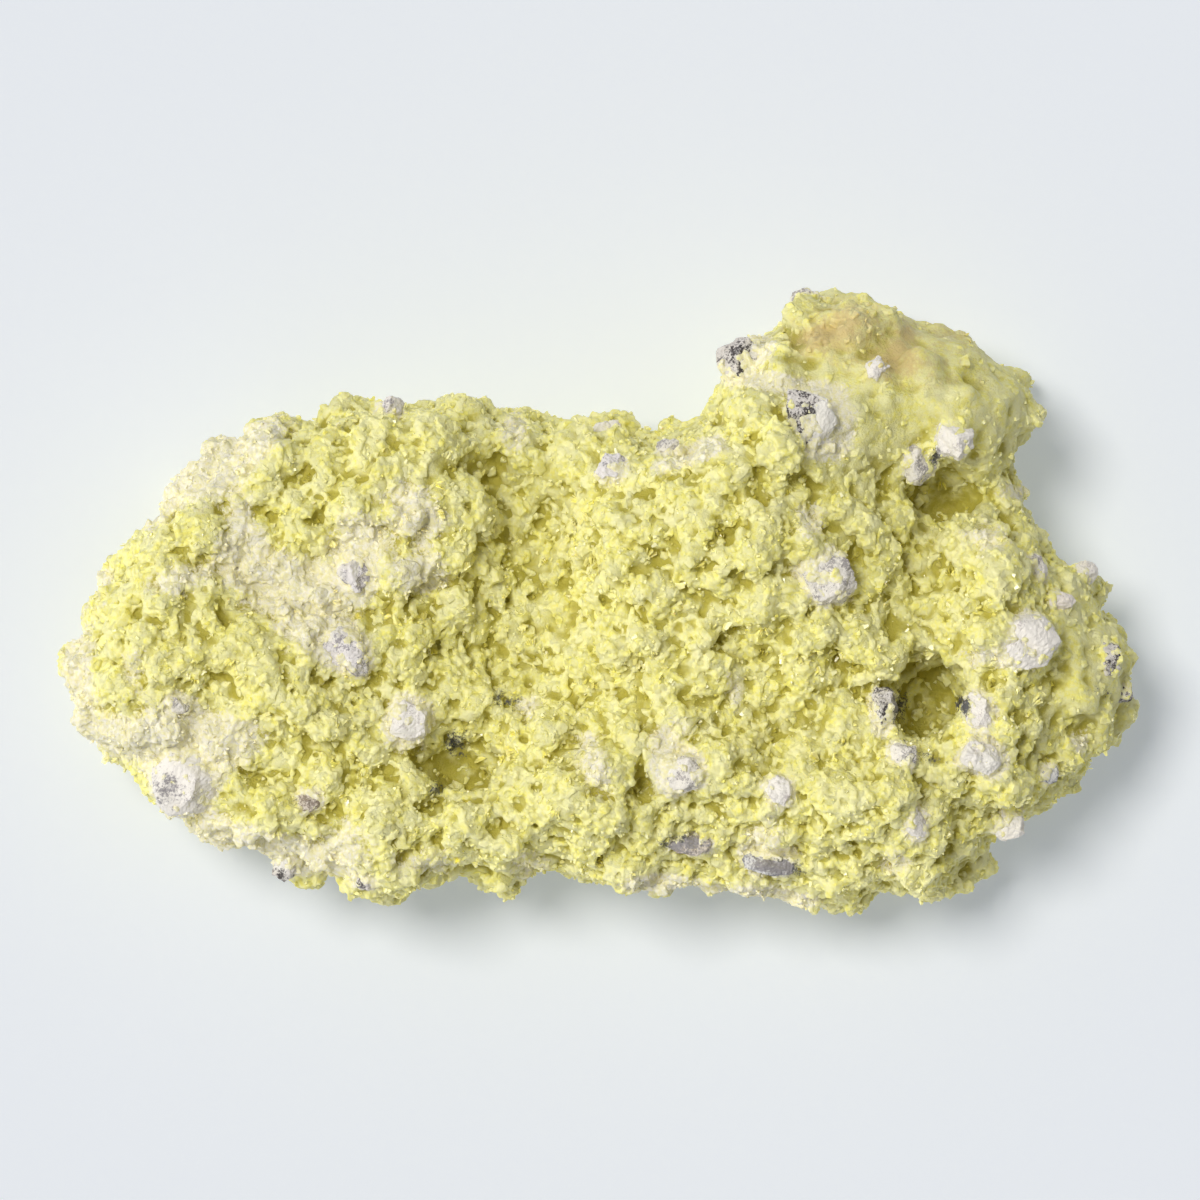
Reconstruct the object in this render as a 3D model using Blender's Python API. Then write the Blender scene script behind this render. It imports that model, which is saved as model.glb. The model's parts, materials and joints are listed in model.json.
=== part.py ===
"""Native sulfur hand specimen: one lumpy mass of crystalline sulfur that has cemented small stones.

The mass is a pillow between a domed top and a flat resting face, with valleys, pits and undercut flanks.
Each stone is a solid of its own that sits in its pocket in the sulfur.
Seen from above, +X is the long way, towards the steep end, and +Y is towards the raised lobe.
"""

import math
import random

import bmesh
import bpy
import numpy as np
from mathutils import Matrix, Vector

MM = 0.001

# Driving dimensions, in millimetres.
RIM_HEIGHT = 17.0  # the widest level of the mass, above the resting face
PLATEAU_HEIGHT = 35.0  # the top where no hill or valley changes it
SHOULDER = 12.0  # the width of the rounded edge of the top
SHOULDER_LEAN = (4.0, -2.5)  # how much wider it is to the right, and narrower at the back
FOOT_INSET = 11.0  # how far the flank pulls in between the rim and the resting face
FOOT_OVERLAP = 1.6  # how far the uncut mass reaches below the resting face
HUB = (12.0, 0.0)  # every point of the outline is seen from here

# Swings around the hub that keep the flank from being even: waves per turn, phase in degrees, millimetres.
RIM_SWINGS = ((2, 35, 2.5), (5, 70, 1.5))
FOOT_SWINGS = ((1, 150, -2.0), (2, -60, 3.0), (3, 100, 2.5), (7, 0, 1.2))
STONE_GAP = 0.35  # clearance between a stone and its pocket
STONE_CORNERS = 20  # points that a stone's block is the hull of

# Resolution of the solid.
OUTLINE_STEPS = 3  # points on each stretch between two outline points
RINGS = 40  # rings of the top, and of the underside
SKIN_VOXEL = 1.5
SKIN_TRIANGLES_SHARE = 0.135

# The widest outline from above, anticlockwise from the left tip: each bulge and each notch, in millimetres.
OUTLINE = (
    (-80, -9.5), (-79, -16), (-77.5, -20.5), (-73.5, -23.5), (-69.5, -25), (-67.5, -29),
    (-64, -32), (-61.5, -35), (-57, -37.5), (-51, -38), (-48, -39.5), (-45, -41),
    (-39.5, -41), (-34, -43), (-28.5, -43.5), (-22, -41), (-15, -43), (-12.5, -43),
    (-8.5, -41), (-3.5, -42.5), (1, -43.5), (7, -44.5), (13.5, -43), (19, -43.5),
    (24.5, -45), (33, -46.5), (41, -45), (48, -44.5), (52, -43), (57.5, -39.5),
    (59, -36), (65, -33), (68.5, -31), (68.5, -28.5), (71.5, -26), (72, -23.5),
    (75, -22), (78, -16), (80, -10), (79, -6), (76, -3.5), (74.5, 0.5),
    (73, 5), (70, 6), (66.5, 10), (64.5, 14), (65, 16), (62.5, 20.5),
    (66, 26.5), (65, 32), (63, 34.5), (56.5, 37.5), (54.5, 40), (48, 40.5),
    (44.5, 43.5), (42.5, 43.5), (39.5, 46.5), (32, 46), (28.5, 45.5), (27, 43),
    (23.5, 39.5), (19, 38.5), (17.5, 34), (15, 30.5), (13.5, 27.5), (7, 26),
    (0.5, 26.5), (-6, 27), (-13, 29), (-26, 29), (-33, 30), (-38, 30),
    (-42.5, 27.5), (-47.5, 27), (-54, 23.5), (-60.5, 20), (-65, 15.5), (-66, 11.5),
    (-70.5, 9), (-71.5, 5), (-75.5, 0), (-76, -5),
)  # fmt: skip

# Hills and valleys of the top: x, y, half width, half depth, turn in degrees, rise.
# All but the turn in millimetres.
HILLS = (
    (-52, -3, 24, 18, 0, 6),  # left lobe
    (-30, 17, 22, 10, -5, 5),  # shoulder behind it
    (21, 7, 20, 17, 0, 14),  # central bulge, the summit
    (3, 9, 6, 14, 8, 4),  # its brow over the trough
    (22, 25, 14, 6, -8, 8),  # ridge in front of the raised lobe
    (47, 33, 17, 12, -15, 6),  # raised lobe
    (58, 0, 8, 15, 8, 9),  # right ridge
    (3, -25, 24, 10, 5, 7),  # front shoulder
    (37, -28, 15, 9, 0, 7),  # front bulge below the deep pit
    (58, -24, 8, 9, 0, 5),  # corner knob
)
VALLEYS = (
    (-9, 10, 7, 14, 12, -9),  # trough between the left lobe and the summit
    (-12, -8, 9, 8, 0, -6),  # hollow at its foot
    (-20, -22, 8, 5, -10, -9),  # front cavity
    (54, 15, 11, 4, -8, -9),  # valley in front of the raised lobe
    (49, 5, 4, 9, 10, -7),  # channel beside the right ridge
    (68, -13, 5, 7, 0, -4),  # hollow in the right flank
    (-45, 2, 9, 5, 25, -4),  # dip across the left lobe
)

# Pits: x, y, half width, half depth, how deep below the skin, lean of the pit's axis (x, y). In millimetres.
PITS = {
    "deep_pit": (47, -13.5, 4.6, 6.6, 14, (-0.15, 0.2)),
    "trough_pit": (-17, 19, 2.9, 3.2, 7, (-0.3, 0.4)),
    "cavity_pit": (-20.5, -24, 5.5, 3.6, 6, (-0.2, 0.3)),
    "cavity_pit_foot": (-24, -29, 2.4, 2.6, 5, (-0.2, 0.3)),
    "valley_pit": (50.5, 15.5, 5.0, 2.6, 6, (0.0, 0.4)),
    "front_pit": (5, -27.5, 2.6, 2.2, 4, (-0.2, 0.3)),
}

# Stones: name, x, y, width, depth, thickness, turn in degrees, how far the stone stands out of the skin.
# All but the turn in millimetres.
STONES = (
    ("white_stone_right", 63, -6.4, 9.4, 8.6, 8, 35, 2.6),
    ("grey_stone_centre", 32.8, 2.8, 8.6, 9.0, 7, 20, 1.6),
    ("dark_stone_ridge", 29.8, 26.8, 9.4, 7.4, 7, -38, 2.2),
    ("dark_stone_notch", 20.4, 35.4, 6.4, 6.0, 7, 15, 2.0),
    ("grey_stone_crown", 30.2, 44.6, 4.4, 3.4, 5, 20, 1.2),
    ("white_stone_saddle", 51.6, 23.4, 5.2, 6.0, 6, -10, 2.4),
    ("grey_stone_saddle", 46.6, 19.6, 5.6, 5.4, 6, -35, 2.0),
    ("white_stone_lobe", 40.3, 33.6, 3.2, 3.8, 4, 15, 1.2),
    ("lilac_stone_left", -35.8, 3.4, 4.6, 4.8, 5, 40, 2.0),
    ("lilac_stone_hollow", -36.6, -7.6, 8.0, 6.4, 6, -30, 1.6),
    ("grey_pebble_left", -61.4, -15.2, 3.0, 2.8, 3, 10, 1.0),
    ("white_stone_heel", -61.8, -26.8, 10.2, 10.6, 9, 30, 2.2),
    ("white_stone_cavity", -28.0, -17.6, 6.4, 6.4, 6, 0, 2.0),
    ("brown_pebble_front", -42.6, -29.6, 3.6, 2.6, 3, 15, 0.8),
    ("dark_pebble_heel", -46.6, -39.6, 3.8, 3.4, 4, 40, 0.8),
    ("dark_pebble_foot", -34.6, -41.6, 2.8, 2.4, 3, 0, 0.8),
    ("lilac_stone_trough", 1.4, 19.2, 3.6, 4.4, 4, -20, 1.6),
    ("grey_pebble_rim", 10.0, 22.4, 3.2, 2.2, 3, 0, 0.8),
    ("white_stone_front", 26.2, -27.8, 4.4, 3.8, 4, -10, 1.4),
    ("grey_stone_front", 12.4, -25.4, 5.6, 5.0, 5, 20, 1.2),
    ("brown_stone_front", 13.2, -36.0, 5.8, 2.8, 4, -5, 0.8),
    ("blue_stone_front", 24.6, -39.0, 7.4, 4.6, 5, -12, 0.9),
    ("white_stone_pit_side", 55.0, -16.6, 4.2, 6.2, 5, 12, 1.2),
    ("white_stone_pit_brow", 55.4, -23.4, 5.4, 4.2, 4, -25, 1.0),
    ("dark_stone_pit", 41.4, -15.6, 3.4, 6.2, 5, 5, 0.9),
    ("white_stone_pit_foot", 44.0, -22.6, 3.8, 4.0, 4, 0, 1.3),
    ("white_stone_corner", 60.2, -33.4, 4.4, 4.4, 4, 10, 1.2),
    ("dark_stone_flank", 75.0, -8.6, 4.4, 5.0, 5, -30, 0.9),
    ("dark_pebble_flank", 77.4, -13.8, 3.8, 2.4, 3, 0, 0.7),
    ("white_stone_flank", 72.0, 4.2, 3.4, 3.2, 4, 0, 1.0),
    ("pink_stone_flank", 67.6, -0.2, 3.8, 3.0, 4, -15, 0.8),
    ("grey_stone_flank", 64.0, 5.0, 2.6, 4.4, 4, 20, 0.7),
    ("blue_pebble_corner", 66.0, -26.0, 3.2, 2.8, 3, 10, 0.8),
    ("white_stone_toe", 46.2, -32.6, 4.6, 3.8, 4, -35, 1.0),
    ("lilac_stone_rim", -31.6, 29.0, 5.0, 3.2, 5, 0, 0.8),
    ("white_stone_rim", 0.6, 25.4, 4.6, 2.6, 4, 5, 0.8),
)


def no_scene():
    for obj in list(bpy.data.objects):
        bpy.data.objects.remove(obj)


def link(name, mesh, material=None):
    obj = bpy.data.objects.new(name, mesh)
    bpy.context.scene.collection.objects.link(obj)
    if material:
        mesh.materials.append(material)
    return obj


def helper(obj):
    """A cutter: it shapes the mass and isn't a piece of it."""
    obj.hide_render = True
    obj.display_type = "WIRE"
    return obj


def finish(name, colour, roughness):
    material = bpy.data.materials.new(name)
    material.use_nodes = True
    shader = material.node_tree.nodes["Principled BSDF"]
    shader.inputs["Base Color"].default_value = (*colour, 1.0)
    shader.inputs["Roughness"].default_value = roughness
    shader.inputs["Metallic"].default_value = 0.0
    return material


def between(a, b, c, d, t):
    """The Catmull-Rom curve from b to c, with a before them and d after them."""
    straight = c - a
    bend = 2 * a - 5 * b + 4 * c - d
    twist = 3 * b - a - 3 * c + d
    return 0.5 * (2 * b + straight * t + bend * t**2 + twist * t**3)


def smooth_outline():
    """The outline as a smooth closed curve, in millimetres."""
    corners = [np.array(p, float) for p in OUTLINE]
    count = len(corners)
    found = []
    for i in range(count):
        around = [corners[(i + k) % count] for k in (-1, 0, 1, 2)]
        found += [between(*around, step / OUTLINE_STEPS) for step in range(OUTLINE_STEPS)]
    return np.array(found)


def inset_of(points, outline):
    """How far each point lies inside the outline."""
    ends = np.roll(outline, -1, axis=0)
    along = ends - outline
    from_start = points[:, None, :] - outline[None, :, :]
    share = np.clip((from_start * along).sum(2) / (along**2).sum(1), 0, 1)
    nearest = outline + share[:, :, None] * along
    return np.linalg.norm(points[:, None, :] - nearest, axis=2).min(axis=1)


def relief(points):
    """The height of the open top over each point, with its hills and valleys."""
    height = np.full(len(points), PLATEAU_HEIGHT)
    for x, y, half_width, half_depth, turn, rise in HILLS + VALLEYS:
        cos, sin = math.cos(math.radians(turn)), math.sin(math.radians(turn))
        dx, dy = points[:, 0] - x, points[:, 1] - y
        across = (dx * cos + dy * sin) / half_width
        deep = (dy * cos - dx * sin) / half_depth
        height += rise * np.exp(-(across**2) - deep**2)
    return height


def rounded(share):
    """From 0 at the rim to 1 where the flank ends, as a quarter of an ellipse."""
    return np.sqrt(1 - (1 - np.clip(share, 0, 1)) ** 2)


def around_hub(points):
    """Each point's direction from the hub, in radians."""
    return np.arctan2(points[:, 1] - HUB[1], points[:, 0] - HUB[0])


def swing(points, swings):
    turn = around_hub(points)
    return sum(size * np.sin(waves * turn + math.radians(phase)) for waves, phase, size in swings)


def rim_height(points):
    return RIM_HEIGHT + swing(points, RIM_SWINGS)


def top_height(points, outline):
    turn = around_hub(points)
    shoulder = SHOULDER + SHOULDER_LEAN[0] * np.cos(turn) + SHOULDER_LEAN[1] * np.sin(turn)
    edge = rounded(inset_of(points, outline) / shoulder)
    rim = rim_height(points)
    return rim + (relief(points) - rim) * edge


def bottom_height(points, outline):
    edge = rounded(inset_of(points, outline) / (FOOT_INSET + swing(points, FOOT_SWINGS)))
    return rim_height(points) * (1 - edge) - FOOT_OVERLAP * edge


def draw_side(bm, rim, outline, height_over):
    """Extrudes the rim towards the hub in rings, each lifted to the side's height, and closes the middle."""
    hub = np.array(HUB)
    edges = [e for e in bm.edges if e.verts[0] in rim and e.verts[1] in rim]
    before = 1.0
    for ring in range(1, RINGS):
        share = math.cos(math.pi / 2 * ring / RINGS)
        made = bmesh.ops.extrude_edge_only(bm, edges=edges)["geom"]
        edges = [g for g in made if isinstance(g, bmesh.types.BMEdge)]
        verts = [g for g in made if isinstance(g, bmesh.types.BMVert)]
        flat = np.array([v.co.xy for v in verts]) / MM
        flat = hub + (flat - hub) * share / before
        heights = height_over(flat, outline)
        for v, (x, y), z in zip(verts, flat, heights, strict=True):
            v.co = Vector((x, y, z)) * MM
        before = share
    bmesh.ops.contextual_create(bm, geom=edges)


def pillow():
    """The mass before its pits and pockets: a domed top and an undercut foot that meet at the rim."""
    outline = smooth_outline()
    bm = bmesh.new()
    rim = set(bmesh.ops.create_circle(bm, segments=len(outline), radius=MM)["verts"])
    for v, (x, y), z in zip(sorted(rim, key=lambda v: v.index), outline, rim_height(outline), strict=True):
        v.co = Vector((x, y, z)) * MM
    draw_side(bm, rim, outline, top_height)
    draw_side(bm, rim, outline, bottom_height)
    bmesh.ops.recalc_face_normals(bm, faces=bm.faces)
    mesh = bpy.data.meshes.new("sulfur_mass")
    bm.to_mesh(mesh)
    bm.free()
    return mesh


def lumps(obj, name, kind, size, strength):
    """Lumps of about this size all over the skin."""
    texture = bpy.data.textures.new(name, kind)
    texture.noise_scale = size * MM
    push = obj.modifiers.new(name, "DISPLACE")
    push.texture = texture
    push.texture_coords = "LOCAL"
    push.strength = strength * MM
    push.mid_level = 0.5


def sulfur_mass(material):
    obj = link("sulfur_mass", pillow(), material)
    skin = obj.modifiers.new("even skin", "REMESH")
    skin.mode = "VOXEL"
    skin.voxel_size = SKIN_VOXEL * MM
    lumps(obj, "swells", "CLOUDS", 17, 5.0)
    lumps(obj, "knobs", "CLOUDS", 5.5, 3.4)
    fewer = obj.modifiers.new("fewer facets", "DECIMATE")
    fewer.ratio = SKIN_TRIANGLES_SHARE
    return obj


def cut(obj, name, cutter):
    carve = obj.modifiers.new(name, "BOOLEAN")
    carve.operation = "DIFFERENCE"
    if isinstance(cutter, bpy.types.Collection):
        carve.operand_type = "COLLECTION"
        carve.collection = cutter
    else:
        carve.object = cutter
    return carve


def ground_cutter():
    """Everything below the resting face."""
    bm = bmesh.new()
    bmesh.ops.create_cube(bm, size=1.0)
    bmesh.ops.scale(bm, vec=Vector((240, 160, 20)) * MM, verts=bm.verts)
    bmesh.ops.translate(bm, vec=Vector((0, 0, -10)) * MM, verts=bm.verts)
    mesh = bpy.data.meshes.new("ground_cutter")
    bm.to_mesh(mesh)
    bm.free()
    return helper(link("ground_cutter", mesh))


def skin_under(x, y, skin):
    """The point and normal of the skin straight below (x, y)."""
    hit, point, normal, _ = skin.ray_cast(Vector((x, y, 200)) * MM, Vector((0, 0, -1)))
    if not hit:
        raise ValueError(f"nothing lies below ({x}, {y})")
    return point, normal


def pit_cutter(name, skin, size):
    """A ragged egg that stands with its middle on the skin and leans the way the pit does."""
    x, y, half_width, half_depth, deep, lean = size
    point, _ = skin_under(x, y, skin)
    noise = random.Random(name)
    bm = bmesh.new()
    bmesh.ops.create_icosphere(bm, subdivisions=2, radius=1.0)
    for v in bm.verts:
        v.co *= noise.uniform(0.86, 1.12)
        v.co = Vector((v.co.x * half_width, v.co.y * half_depth, v.co.z * deep)) * MM
        v.co.x += lean[0] * v.co.z
        v.co.y += lean[1] * v.co.z
    bmesh.ops.translate(bm, vec=point, verts=bm.verts)
    mesh = bpy.data.meshes.new(name)
    bm.to_mesh(mesh)
    bm.free()
    return helper(link(name, mesh))


def broken_block(name, width, depth, thickness):
    """An angular block: the hull of points scattered over an egg of the stone's size."""
    noise = random.Random(name)
    size = Vector((width, depth, thickness)) * MM / 2
    bm = bmesh.new()
    for _ in range(STONE_CORNERS):
        direction = Vector([noise.gauss(0, 1) for _ in range(3)]).normalized()
        boxy = Vector([math.copysign(abs(c) ** 0.75, c) for c in direction])
        bmesh.ops.create_vert(bm, co=[b * s for b, s in zip(boxy, size, strict=True)])
    hull = bmesh.ops.convex_hull(bm, input=bm.verts)
    bmesh.ops.delete(bm, geom=list(set(hull["geom_interior"] + hull["geom_unused"])), context="VERTS")
    bmesh.ops.recalc_face_normals(bm, faces=bm.faces)
    return bm


def place_on_skin(bm, skin, x, y, turn, thickness, stands_out):
    """Turns a stone, leans it half way to the skin's slope and sinks it until it stands out this far."""
    point, normal = skin_under(x, y, skin)
    leaning = Vector((0, 0, 1)).rotation_difference((normal + Vector((0, 0, 1))).normalized())
    sunk = point + leaning @ Vector((0, 0, stands_out - thickness / 2)) * MM
    turned = leaning.to_matrix().to_4x4() @ Matrix.Rotation(math.radians(turn), 4, "Z")
    bmesh.ops.transform(bm, matrix=Matrix.Translation(sunk) @ turned, verts=bm.verts)


def stone_and_pocket(skin, material, pockets, stone):
    name, x, y, width, depth, thickness, turn, stands_out = stone
    bm = broken_block(name, width, depth, thickness)
    place_on_skin(bm, skin, x, y, turn, thickness, stands_out)
    mesh = bpy.data.meshes.new(name)
    bm.to_mesh(mesh)
    link(name, mesh, material)
    for v in bm.verts:
        v.co += v.normal * v.calc_shell_factor() * STONE_GAP * MM
    hollow = bpy.data.meshes.new(name + "_pocket")
    bm.to_mesh(hollow)
    bm.free()
    pocket = helper(link(name + "_pocket", hollow))
    bpy.context.scene.collection.objects.unlink(pocket)
    pockets.objects.link(pocket)


def stone_finishes():
    return {
        "white": finish("powdery white tuff", (0.75, 0.70, 0.63), 0.95),
        "pink": finish("powdery pink tuff", (0.68, 0.58, 0.49), 0.95),
        "lilac": finish("lilac grey tuff", (0.40, 0.37, 0.39), 0.9),
        "grey": finish("grey andesite", (0.35, 0.31, 0.26), 0.9),
        "blue": finish("blue grey andesite", (0.22, 0.23, 0.26), 0.85),
        "brown": finish("brown andesite", (0.31, 0.22, 0.16), 0.9),
        "dark": finish("dark andesite", (0.09, 0.08, 0.07), 0.85),
    }


def build():
    no_scene()
    mass = sulfur_mass(finish("sulfur", (0.67, 0.61, 0.15), 0.45))
    bpy.context.view_layer.update()
    skin = mass.evaluated_get(bpy.context.evaluated_depsgraph_get())
    cutters = [pit_cutter(name, skin, size) for name, size in PITS.items()]
    pockets = bpy.data.collections.new("stone pockets")
    bpy.context.scene.collection.children.link(pockets)
    finishes = stone_finishes()
    for stone in STONES:
        stone_and_pocket(skin, finishes[stone[0].split("_")[0]], pockets, stone)
    cut(mass, "resting face", ground_cutter())
    for cutter in cutters:
        cut(mass, cutter.name, cutter)
    cut(mass, "stone pockets", pockets)


build()
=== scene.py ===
"""Looks of a native sulfur hand specimen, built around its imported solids.

The sulfur is one fused, knobby skin. On it are a crust of grown-together grains, sharp crystals and blades.
Every stone is a rough copy of its solid. Seen from above, +X is to the right and +Y is up.
Lengths are in millimetres unless a name says otherwise, and MM turns them into metres.
"""

import json
import math
from types import SimpleNamespace

import bmesh
import bpy
import numpy as np
from mathutils import Matrix, Vector
from mathutils.bvhtree import BVHTree
from mathutils.kdtree import KDTree

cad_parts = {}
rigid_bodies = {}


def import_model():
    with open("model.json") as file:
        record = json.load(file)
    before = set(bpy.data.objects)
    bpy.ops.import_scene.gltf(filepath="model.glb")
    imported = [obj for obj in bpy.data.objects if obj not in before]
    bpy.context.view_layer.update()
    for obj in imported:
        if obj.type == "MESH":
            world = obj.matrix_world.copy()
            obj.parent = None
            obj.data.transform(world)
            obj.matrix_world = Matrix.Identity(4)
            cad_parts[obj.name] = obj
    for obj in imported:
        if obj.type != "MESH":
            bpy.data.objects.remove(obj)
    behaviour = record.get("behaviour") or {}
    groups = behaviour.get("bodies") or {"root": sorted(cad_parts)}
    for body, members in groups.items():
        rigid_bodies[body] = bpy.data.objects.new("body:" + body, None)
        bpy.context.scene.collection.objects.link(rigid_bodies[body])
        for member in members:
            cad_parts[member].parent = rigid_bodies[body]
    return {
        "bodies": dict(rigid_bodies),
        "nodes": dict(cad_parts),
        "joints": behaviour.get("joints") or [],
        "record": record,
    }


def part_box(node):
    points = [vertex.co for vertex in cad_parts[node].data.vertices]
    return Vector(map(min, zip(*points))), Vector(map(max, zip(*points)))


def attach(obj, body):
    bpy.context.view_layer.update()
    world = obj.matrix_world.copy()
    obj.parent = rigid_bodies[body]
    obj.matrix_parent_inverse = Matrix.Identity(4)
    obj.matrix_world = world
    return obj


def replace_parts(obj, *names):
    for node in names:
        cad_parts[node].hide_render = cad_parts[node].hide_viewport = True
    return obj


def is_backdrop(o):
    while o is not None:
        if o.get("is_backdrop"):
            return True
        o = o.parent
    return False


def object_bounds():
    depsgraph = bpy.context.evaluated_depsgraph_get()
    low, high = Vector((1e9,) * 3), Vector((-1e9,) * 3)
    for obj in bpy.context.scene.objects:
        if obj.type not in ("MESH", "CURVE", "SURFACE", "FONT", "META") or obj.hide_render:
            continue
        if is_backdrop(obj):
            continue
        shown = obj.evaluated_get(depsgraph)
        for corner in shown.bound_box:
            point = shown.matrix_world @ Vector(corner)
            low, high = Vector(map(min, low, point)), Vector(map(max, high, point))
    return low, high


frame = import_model()
cad_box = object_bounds()
specimen = bpy.data.collections.new("specimen")  # all that the fill and the crown light

MM = 0.001
BAKE_MAP = "OFBake"  # the name of the UV map that each piece is baked through

# ---- The sulfur's relief ----
POCKET_FILL = 0.5  # a stone's copy that fills its pocket reaches this far past the stone
FILLED_VOXEL = 0.7
CORE_SOFTENING = 12  # rounds
CORE_INSET = 1.0  # the smooth core lies this far under the solid's surface
CALM_INSET = 0.5  # the same where the sulfur is smooth and waxy
# Rounds of knobs: kind, count, least and largest radius, share of the radius that is sunk,
# voxel that fuses them, rounds of smoothing that tell high places from low ones, weight of the low places.
KNOBS = (
    ("round", 560, 1.9, 4.4, 0.3, 0.8, 60, 0.1),
    ("block", 3800, 0.9, 1.9, 0.35, 0.55, 30, 0.45),
    ("block", 10000, 0.45, 0.95, 0.3, 0.38, 14, 0.7),
)
CLODS = ((7.5, 2.0), (3.6, 0.8))  # size and depth of the creases between clods, after the first two rounds
HOLES = ((3.5, 1.2), (2.0, 0.5))  # size and depth of the holes, after the same rounds
CREASE_WIDTH = 0.12  # as a share of a clod
CUT_IN_CALM = 0.25  # how much of the creases and holes stays where the sulfur is smooth
WRINKLES = (2.2, 1.1)  # size and depth
CRUMBS = (0.6, 0.25)
WEIGHT_STEPS = 8  # levels of a vertex group
STONE_ROOM = -0.1  # how far a knob's edge stays from a stone; below 0, it overlaps the stone by as much
SKIN_TRIANGLES = 195_000
SKIN_HOLLOW_ROUNDS = 14  # rounds of smoothing that tell hollows from knobs

# ---- Crust of grown-together grains ----
CRUST_PIECES = 4
CRUST_TRIANGLES = 190_000  # in each piece
CRUST_GRAINS = 31_000
CRUST_GRAIN_SIZE = (0.5, 1.4)
CRUST_SUNK = 0.12
CRUST_SUNK_IN_CALM = 0.5
GRAINS_ON_STONES = 2600
CRUST_VOXEL = 0.26
CRUST_ROUGHNESS = (0.4, 0.08)  # size and depth
CRUST_HOLLOW_ROUNDS = 4
SHADE_UNDER_GRAINS = 0.2  # how much painted shade the skin between grains gets, counted as a hollow
SHADE_IN_GRAIN_GAPS = 1.8  # how much painted shade the gaps between grains get, counted as hollows

# ---- Where grains and crystals grow ----
GROWTH_FROM = (1.5, 6.0)  # the heights above the resting face between which it sets in
COLLAR = 1.2  # how many more grains there are around a stone
COLLAR_REACH = 1.2
RIM_HEIGHTS = (1.6, 0.3)  # on a stone, no grains this far from the skin, and all of them this near

# ---- Stones ----
STONE_SWELL = 0.3
# These three are shares of the stone's least width.
STONE_VOXEL = 0.06
STONE_DENTS = (0.35, 0.32)  # size and depth
ROUGH_STONE_VOXEL = 0.04
LEAST_STONE_VOXEL = 0.16  # in millimetres
STONE_FACETS = 80
STONE_GRIT = (0.5, 0.45)  # size and depth

# ---- Dust ----
DUSTY_FROM = (3.0, 15.0)  # the heights between which the flanks' dust sets in
STONE_DUST = 0.9  # how dusty the sulfur is beside a stone
STONE_DUST_REACH = 1.3
CLEANER_STONES = 0.25  # how much less dust stays on the stones

# ---- Studio ----
FLOOR_PAINT = (0.90, 0.92, 0.92)
FLOOR_GLOW = (0.15, 0.175, 0.235)
SKY = 0.22
BACKDROP = (0.80, 0.84, 0.86)
# Each sun: strength, width in degrees, direction it comes from. Only the key lights the floor too.
SUNS = {
    "key": (1.6, 20, (-0.35, 0.25, 1.0)),
    "fill": (1.05, 60, (-1.0, -0.4, 0.7)),
    "crown": (0.3, 140, (-0.8, 0.2, 0.8)),
}

# ---- Camera ----
LENS = 240.0
SENSOR = 36.0
FRAME_WIDTH = 178.1  # what the view spans at the level of the rim
RIM_LEVEL = 17.0


# ======== Arrays and meshes ========


def numbers(items, name, width=1, kind=np.float32):
    """One property of all the items as an array, with a row for each item if it has several numbers."""
    found = np.empty(len(items) * width, kind)
    items.foreach_get(name, found)
    return found.reshape(-1, width) if width > 1 else found


def link(name, mesh):
    obj = bpy.data.objects.new(name, mesh)
    bpy.context.scene.collection.objects.link(obj)
    return obj


def taken(name, bm):
    """The bmesh as a mesh; the bmesh is freed."""
    mesh = bpy.data.meshes.new(name)
    bm.to_mesh(mesh)
    bm.free()
    return mesh


def with_modifiers_applied(obj):
    """The object's mesh after its modifiers, in place of the object, which is removed."""
    evaluated = obj.evaluated_get(bpy.context.evaluated_depsgraph_get())
    mesh = bpy.data.meshes.new_from_object(evaluated)
    mesh.name = obj.name
    bpy.data.objects.remove(obj)
    return mesh


def closed_copy(node):
    """A CAD node's loose triangles, merged to one closed mesh."""
    bm = bmesh.new()
    bm.from_mesh(frame["nodes"][node].data)
    bmesh.ops.remove_doubles(bm, verts=bm.verts, dist=0.001 * MM)
    return bm


def fused(name, mesh, voxel):
    """One skin around everything in the mesh."""
    obj = link(name, mesh)
    skin = obj.modifiers.new("fuse", "REMESH")
    skin.mode = "VOXEL"
    skin.voxel_size = voxel * MM
    return with_modifiers_applied(obj)


def thinned(name, mesh, triangles, smooth=True):
    """The mesh with at most this many triangles, and without the doubled ones that thinning leaves."""
    mesh.calc_loop_triangles()
    obj = link(name, mesh)
    fewer = obj.modifiers.new("fewer", "DECIMATE")
    fewer.ratio = min(1, triangles / len(mesh.loop_triangles))
    mesh = with_modifiers_applied(obj)
    mesh.validate()
    mesh.polygons.foreach_set("use_smooth", np.full(len(mesh.polygons), smooth))
    return mesh


def skin_of(mesh):
    """The mesh's triangles as arrays: corners, areas and normals, in metres."""
    mesh.calc_loop_triangles()
    place = numbers(mesh.vertices, "co", 3)
    normal = numbers(mesh.vertices, "normal", 3)
    corner = numbers(mesh.loop_triangles, "vertices", 3, np.int32)
    return SimpleNamespace(
        place=place,
        normal=normal,
        corner=corner,
        area=numbers(mesh.loop_triangles, "area"),
        middle=place[corner].mean(axis=1),
    )


def scatter(skin, count, weight, rng):
    """Random places on the skin, more of them where weight is high: points, outward normals and triangles."""
    chance = skin.area * weight
    triangle = rng.choice(len(chance), count, p=chance / chance.sum())
    share = rng.random((count, 2))
    share = np.where(share.sum(axis=1, keepdims=True) > 1, 1 - share, share)
    share = np.column_stack([1 - share.sum(axis=1), share])[:, :, None]
    at = skin.corner[triangle]
    outward = (skin.normal[at] * share).sum(axis=1)
    return (skin.place[at] * share).sum(axis=1), unit(outward), triangle


def unit(vectors):
    return vectors / np.maximum(np.linalg.norm(vectors, axis=-1, keepdims=True), 1e-12)


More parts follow.
